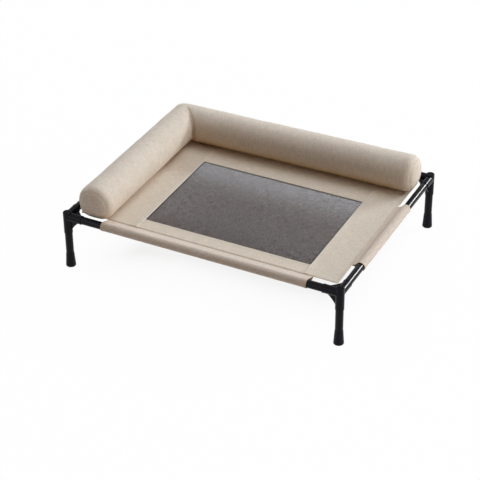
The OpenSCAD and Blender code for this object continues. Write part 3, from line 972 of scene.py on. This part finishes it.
bolsterSet = {
    "around": 64,  # points round a roll
    "ringStep": 7.0,
    "cornerStep": 4.0,  # rings stand closer beside the mitre
    "cornerRun": 64.0,
    "mitreRun": 160.0,  # rings lean over to the mitre plane along this length, and are there before its end
    "mitreGain": 1.25,
    "cornerInset": 5.7,  # the corner lies this far in from the CAD axis
    "tipOutset": 7.6,  # and the right tip this far out, as the loose roll lies
    "leftOutset": 1.5,
    "tipInset": 3.2,  # the right tip stops this far short of the CAD's
    "stops": (0.0, 0.22, 0.416, 0.51, 1.0),  # shares of the way from the left tip to the right one
    "halfWidth": (52.5, 51.2, 49.6, 50.9, 52.6),
    "height": (97.6, 97.0, 96.6, 96.9, 100.0),
    "middle": 0.47,  # height of the widest line, as a share, and the parts above and below it
    "above": 0.53,
    "below": 0.485,
    "powerAbove": 2.1,  # of the superellipse
    "powerBelow": 3.3,
    "tuck": 0.085,  # the rolls are narrower below
    "start": 0.99,  # the cloth starts smaller and swells
    "endLength": 35.0,
    "endPower": 2.6,
    "seamAt": 0.80,  # end seam, as a share of the roll's radius, and the rings inside and outside it
    "endShares": (*np.linspace(0.1, 0.7, 7), 0.75, 0.785),
    "rimShares": (0.815, 0.845, 0.88, 0.91, 0.94, 0.965),
    "cornerSoft": 0.06,  # how much the outer corner is drawn in, and along how far
    "cornerReach": 38.0,
    "cornerRound": 34.0,  # run of the bend at the outer corner, and how fast it falls off towards the inner side
    "cornerFall": 0.7,
    "seamShift": 10.0,  # the mitre seam lies this far along the rear roll
    "heldBelow": 0.6,  # cloth this near the underside is held on the deck
    "seamHold": 0.6,
    "cloth": {"quality": 6, "mass": 0.25, "tension_stiffness": 14, "compression_stiffness": 14, "shear_stiffness": 6,
              "bending_stiffness": 0.6, "use_pressure": True, "uniform_pressure_force": 4.0},
    "frames": 20,
    "cap": 6.0,  # the cloth moves this far at most
}


# shares of the roll's radius from near a tip to the full roll, and how far each lies from the tip:
# share^p + (1 - distance / length)^p = 1
def endRings(opts):
    p, length = opts["endPower"], opts["endLength"]
    share = np.array([*opts["endShares"], opts["seamAt"], *opts["rimShares"]])
    distance = length * (1 - (1 - share ** p) ** (1 / p))
    rest = np.linspace(distance[-1], length, 5)[1:]
    share = np.append(share, (1 - (1 - rest / length) ** p) ** (1 / p))
    return share, np.append(distance, rest), len(opts["endShares"])


# how far from its tip each ring of a roll stands: the rounded end, plain steps, closer ones beside the mitre
def ringPlaces(length, ends, opts):
    first, last, step = opts["endLength"], length - opts["cornerRun"], opts["ringStep"]
    plain = np.linspace(first, last, int((last - first) / step))[1:]
    close = np.linspace(opts["cornerRun"], 0, int(opts["cornerRun"] / opts["cornerStep"]) + 1)[1:]
    return np.concatenate([ends, plain, length - close])


# each ring is a superellipse pressed flat below, blown up by its share of the radius; rings lean over to the mitre,
# so a point's place along the path shifts by its outward offset times the lean
def bolsterRings(opts):
    leftLo, leftHi = nodeBox("left_bolster_end")
    rearLo, rearHi = nodeBox("rear_bolster_end")
    under = nodeBox("rear_bolster_cover")[0][2] / mm
    cornerX = (leftLo[0] + leftHi[0]) / 2 / mm
    rearY = (rearLo[1] + rearHi[1]) / 2 / mm
    tipY, tipX = leftLo[1] / mm, rearHi[0] / mm - opts["tipInset"]
    cornerY = rearY - opts["cornerInset"]
    leftLength, rearLength = cornerY - tipY, tipX - cornerX

    share, distance, seam = endRings(opts)
    left = ringPlaces(leftLength, distance, opts)
    rear = ringPlaces(rearLength, distance, opts)[::-1]
    path = np.concatenate([left, leftLength + (rearLength - rear)[1:]])  # along the whole L from the left tip
    past = path - leftLength  # along it from the corner
    blow = np.ones(len(path))
    blow[:len(share)] = share
    blow[-len(share):] = share[::-1]
    lean = ease(opts["mitreGain"] * (1 - np.abs(past) / opts["mitreRun"]))
    stops = np.array(opts["stops"]) * (leftLength + rearLength)
    halfWidth = np.interp(path, stops, opts["halfWidth"]) * opts["start"]
    height = np.interp(path, stops, opts["height"]) * opts["start"]

    a = np.linspace(0, 2 * math.pi, opts["around"], endpoint=False)
    outer = np.maximum(np.cos(a), 0)
    power = np.where(np.sin(a) > 0, opts["powerAbove"], opts["powerBelow"])
    reach = (np.abs(np.cos(a)) ** power + np.abs(np.sin(a)) ** power) ** (-1 / power)
    soft = 1 - opts["cornerSoft"] * bell(past, opts["cornerReach"])[:, None] * outer[None] ** 2
    tuck = 1 - opts["tuck"] * np.maximum(-np.sin(a), 0)
    out = halfWidth[:, None] * blow[:, None] * (reach * np.cos(a) * tuck)[None] * soft
    part = np.where(np.sin(a) > 0, opts["above"], opts["below"])
    up = under + height[:, None] * (opts["middle"] + blow[:, None] * (reach * np.sin(a) * part)[None])
    up = np.maximum(up, under)

    # on the outer side the path turns the corner along a parabola between two points a run away from it
    q = past[:, None] + np.zeros_like(out)
    run = np.maximum(opts["cornerRound"] * outer ** opts["cornerFall"], 1e-6)[None]
    t = (q + run) / (2 * run)
    goX = np.where(np.abs(q) < run, run * t ** 2, np.maximum(q, 0))
    goY = np.where(np.abs(q) < run, -run * (1 - t) ** 2, np.minimum(q, 0))
    before = q <= 0
    x = cornerX - out * np.where(before, 1, lean[:, None]) + goX + opts["leftOutset"] * np.minimum(q, 0) / leftLength
    turn = (opts["cornerInset"] + opts["tipOutset"]) * np.maximum(q, 0) / rearLength
    y = cornerY + out * np.where(before, lean[:, None], 1) + goY + turn
    middle = under + opts["middle"] * height
    poles = np.array([[cornerX - opts["leftOutset"], tipY, middle[0]],
                      [tipX, rearY + opts["tipOutset"], middle[-1]]]) * mm
    return {"rings": np.stack([x, y, up], -1) * mm, "poles": poles, "seams": (seam, len(path) - 1 - seam),
            "corner": int(np.argmin(np.abs(past - opts["seamShift"]))),
            "path": path, "angles": a, "under": under * mm, "blow": blow}


# a closed skin: the quads between the rings and a fan of triangles to each pole
def closedSkin(rings, poles):
    n, m = rings.shape[:2]
    points = np.concatenate([rings.reshape(-1, 3), poles])
    quads = gridQuads(n, m, wrap=True)[:, ::-1]
    j = np.arange(m)
    k = (j + 1) % m
    first = np.stack([j, k, np.full(m, n * m)], -1)
    last = np.stack([(n - 1) * m + k, (n - 1) * m + j, np.full(m, n * m + 1)], -1)
    return points, [*quads, *first, *last]


# blows the sewn skin up as cloth, with the underside held on the deck and the seams held more loosely
def inflate(skin, opts):
    rings = skin["rings"]
    points, faces = closedSkin(rings, skin["poles"])
    mesh = bpy.data.meshes.new("bolsterCloth")
    mesh.from_pydata(points.tolist(), [], [list(map(int, f)) for f in faces])
    cloth = bpy.data.objects.new("bolsterCloth", mesh)
    scene.collection.objects.link(cloth)
    hold = np.where(rings[..., 2] < skin["under"] + opts["heldBelow"] * mm, 1.0, 0.0)
    for ring in (*skin["seams"], skin["corner"]):
        hold[ring] = np.maximum(hold[ring], opts["seamHold"])
    group = cloth.vertex_groups.new(name="held")
    for level in np.unique(hold[hold > 0]):
        group.add(np.flatnonzero(hold == level).tolist(), float(level), "REPLACE")
    settings = cloth.modifiers.new("cloth", "CLOTH").settings
    for field, value in opts["cloth"].items():
        setattr(settings, field, value)
    settings.vertex_group_mass = "held"
    settings.effector_weights.gravity = 0
    for number in range(1, opts["frames"] + 1):
        scene.frame_set(number)
    swollen = cloth.evaluated_get(bpy.context.evaluated_depsgraph_get()).data
    moved = np.empty(len(points) * 3)
    swollen.vertices.foreach_get("co", moved)
    step = moved.reshape(-1, 3) - points
    far = np.linalg.norm(step, axis=1)
    step *= np.minimum(1, opts["cap"] * mm / np.maximum(far, 1e-9))[:, None]
    bpy.data.objects.remove(cloth)
    bpy.data.meshes.remove(mesh)
    scene.frame_set(1)
    print("bolster cloth: moved %.2f mm at most, %.2f mm on average" % (far.max() / mm, far.mean() / mm))
    result = points + step
    result[:, 2] = np.maximum(result[:, 2], skin["under"])
    return result[:-2].reshape(rings.shape), result[-2:]


puckerSet = {
    # depths in mm, how far the puckers reach, how many waves of them go round, and wear with painted crease shade
    "mitre": {"groove": 1.7, "pucker": 0.8, "reach": 16.0, "counts": (19, 27, 34), "soilShade": 0.8},
    "leftEnd": {"groove": 0.8, "pucker": 1.1, "reach": 9.0, "counts": (23, 31, 41), "soilShade": 0.2},
    "rearEnd": {"groove": 0.8, "pucker": 1.1, "reach": 9.0, "counts": (21, 29, 43), "soilShade": 0.2},
    "mitreFade": (0.3, 0.55),  # the mitre seam fades out over the top of the corner
    "grooveWidth": 3.4,
    "seamWidth": 3.0,  # wear and painted shade stay this near a seam, and puckers start here
    "slant": 18.0,  # puckers slant by a radian along this length, every other wave the other way
    "phase": 0.7,
    "crease": 0.7,  # broad soft creases along the rolls
    "lowPaintedShade": 0.72,  # painted shade, darker and warmer where the rolls meet the deck
    "rearPaintedShade": 1.75,  # that much more of it on the rear roll
    "lowRise": 24.0,  # and how far up it fades, mm
    "footPaintedShadow": 0.55,  # a painted shadow line along the rear roll's foot
    "footRise": 9.0,
    "rearRun": 60.0,  # both come in along this run from the mitre, and go out before the tip
    "tipClear": 20.0,
    "heldRise": 8.0,  # nothing moves at the underside, all does this far up
}
creaseWaves = [(0.21, 0.31, 0.4), (-0.13, 0.157, 2.0), (0.33, -0.157, 4.1), (0.075, 0.31, 1.2)]
creaseRound = 0.05  # metres round a roll for each radian


# grid normals from the differences along and round the rings
def ringNormals(rings):
    along = np.gradient(rings, axis=0)
    around = np.roll(rings, -1, 1) - np.roll(rings, 1, 1)
    n = np.cross(around, along)
    return n / np.maximum(np.linalg.norm(n, axis=-1, keepdims=True), 1e-12)


# seams are bell-shaped grooves; puckers beside them are waves round the roll that die away with distance;
# broad creases are slow waves along and round it, all taken off along the normal and faded out underneath
def sewBolster(skin, rings, opts):
    path, a = skin["path"], skin["angles"]
    away = np.linalg.norm(np.diff(rings, axis=0, prepend=rings[:1]), axis=-1).mean(1)
    along = np.cumsum(away) / mm
    move = np.zeros(rings.shape[:2])
    wear = np.zeros(rings.shape[:2])
    fadeAt, fadeRun = opts["mitreFade"]
    taut = ease((fadeAt - np.cos(a)) / fadeRun)[None] ** 2
    for ring, seamName, pull in ((skin["corner"], "mitre", taut), (skin["seams"][0], "leftEnd", 1),
                                 (skin["seams"][1], "rearEnd", 1)):
        seam = opts[seamName]
        off = (along - along[ring])[:, None]
        onSeam = bell(off, opts["seamWidth"])
        move -= seam["groove"] * pull * bell(off, opts["grooveWidth"])
        waves = [np.sin(n * (a + opts["phase"]) + off / opts["slant"] * (1 if n % 2 else -1)) for n in seam["counts"]]
        move += seam["pucker"] * pull * sum(waves) / len(waves) * np.exp(-np.abs(off) / seam["reach"]) * (1 - onSeam)
        # the seam darker, as wear and painted crease shade
        wear += seam["soilShade"] * pull * onSeam
    slow = ripple(path[:, None] * mm, a[None] * creaseRound, creaseWaves)
    move += opts["crease"] * slow * skin["blow"][:, None]
    rise = (rings[..., 2] - skin["under"]) / mm
    onRear = ease((path - path[skin["corner"]]) / opts["rearRun"])
    onRear = onRear * ease((path[-1] - path - opts["tipClear"]) / opts["rearRun"])
    # painted shade: darker and warmer towards the deck, most on the rear roll, and a painted shadow line along its foot
    wear += (opts["lowPaintedShade"] * (1 + opts["rearPaintedShade"] * onRear))[:, None] * bell(rise, opts["lowRise"])
    wear += opts["footPaintedShadow"] * onRear[:, None] * bell(rise, opts["footRise"])
    held = ease(rise / opts["heldRise"])
    sewn = rings + ringNormals(rings) * (move * held)[..., None] * mm
    sewn[..., 2] = np.maximum(sewn[..., 2], skin["under"])
    return sewn, wear


# one cut of the bolster's cloth, rounded and filled
def makeCover(name, points, faces, cells, wear, replaced):
    piece = makePiece(name, points, faces, "bolster", "bolsterCanvas", cells, wear, levels=1)
    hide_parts(*replaced)


# a run of rings, closed round the roll; the weave is the mean length round it and the place along it
def makeRoll(name, rings, wear, path, replaced):
    n, m = rings.shape[:2]
    step = np.linalg.norm(np.roll(rings, -1, 1) - rings, axis=-1)
    girth = np.concatenate([np.zeros((n, 1)), np.cumsum(step, 1)], 1).mean(0)
    weave = np.stack(np.broadcast_arrays(girth[None], (path * mm)[:, None]), -1)
    quads = gridQuads(n, m, wrap=True)[:, ::-1]
    makeCover(name, rings.reshape(-1, 3), quads, gridCells(weave)[:, ::-1], wear, replaced)


# the end panel: rings from its seam in to the pole, the weave laid flat across it
def makeEnd(name, rings, wear, pole, replaced, across):
    n, m = rings.shape[:2]
    points = np.concatenate([rings.reshape(-1, 3), pole[None]])
    j = np.arange(m)
    fan = np.stack([np.full(m, n * m), (n - 1) * m + j, (n - 1) * m + (j + 1) % m], -1)
    inside = rings[0].mean(0) * 2 - pole
    weave = points[:, [across, 2]]
    faces, cells = [], []
    for part in (gridQuads(n, m, wrap=True), fan):
        part = part[:, ::outwardStep(points, part, inside)]
        faces += [*part]
        cells.append(weave[part].reshape(-1, 2))
    makeCover(name, points, faces, np.concatenate(cells), np.append(wear.ravel(), 0), replaced)


skin = bolsterRings(bolsterSet)
full, poles = inflate(skin, bolsterSet)
sewn, bolsterWearAndShade = sewBolster(skin, full, puckerSet)
leftSeam, rearSeam = skin["seams"]
for rollName, first, last, replaced in (
        ("leftRoll", leftSeam, skin["corner"], ["left_bolster_cover"]),
        ("rearRoll", skin["corner"], rearSeam, ["rear_bolster_cover", "bolster_filling"])):
    cut = slice(first, last + 1)
    makeRoll(rollName, sewn[cut], bolsterWearAndShade[cut], skin["path"][cut], replaced)
makeEnd("leftEnd", sewn[:leftSeam + 1][::-1], bolsterWearAndShade[:leftSeam + 1][::-1], poles[0], ["left_bolster_end"], 0)
makeEnd("rearEnd", sewn[rearSeam:], bolsterWearAndShade[rearSeam:], poles[1], ["rear_bolster_end"], 1)
print("bolster: two rolls and two end panels,", sewn.shape[0] * sewn.shape[1], "points before rounding")


# Hook and loop strips

stripSet = {
    "step": 3.0,
    "edge": 0.25,  # how far the edges dip, and along what width
    "edgeWidth": 2,
    "over": 0.3,  # the strips clear the deck by this much, at the highest of these places beside each point
    "beside": (-4, -2, 0, 2, 4),
    "thickness": 0.95,  # share of the CAD's
}


# top of the deck at any point: the side panels where they reach, the rear panel between them
def deckHeight(x, y):
    z = panelHeight(panelSides["rearPanel"], x, y)
    z = np.where(x <= windowLow[0], panelHeight(panelSides["leftPanel"], x, y), z)
    return np.where(x >= windowHigh[0], panelHeight(panelSides["rightPanel"], x, y), z)


# a flat tape whose edges dip slightly; hooks look down, loops look up, and both climb over the laps of the deck
def makeStrip(name, node, body, finish, facing, opts=stripSet):
    lo, hi = nodeBox(node)
    nx, ny = (max(int((hi[k] - lo[k]) / (opts["step"] * mm)), 6) for k in (0, 1))
    x, y = np.meshgrid(np.linspace(lo[0], hi[0], nx), np.linspace(lo[1], hi[1], ny), indexing="ij")
    edge = nearestEdge(edgeDistances(lo, hi, x, y)) / mm
    dip = opts["edge"] * mm * (1 - ease(edge / opts["edgeWidth"]))
    highest = np.max([deckHeight(x + near * mm, y) for near in opts["beside"]], axis=0)
    z = np.maximum(hi[2] if facing > 0 else lo[2], highest + opts["over"] * mm) - facing * dip
    points, quads, cells = levelSkin(x, y, z, facing)
    piece = makePiece(name, points, quads, body, finish, cells,
                      thickness=(hi[2] - lo[2]) * opts["thickness"])
    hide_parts(node)


for sideName in ("rear", "left"):
    makeStrip(sideName + "LoopStrip", sideName + "_loop_strip", "frame", "loopTape", 1)
    makeStrip(sideName + "HookStrip", sideName + "_hook_strip", "bolster", "hookTape", -1)
print("strips: two hook, two loop")
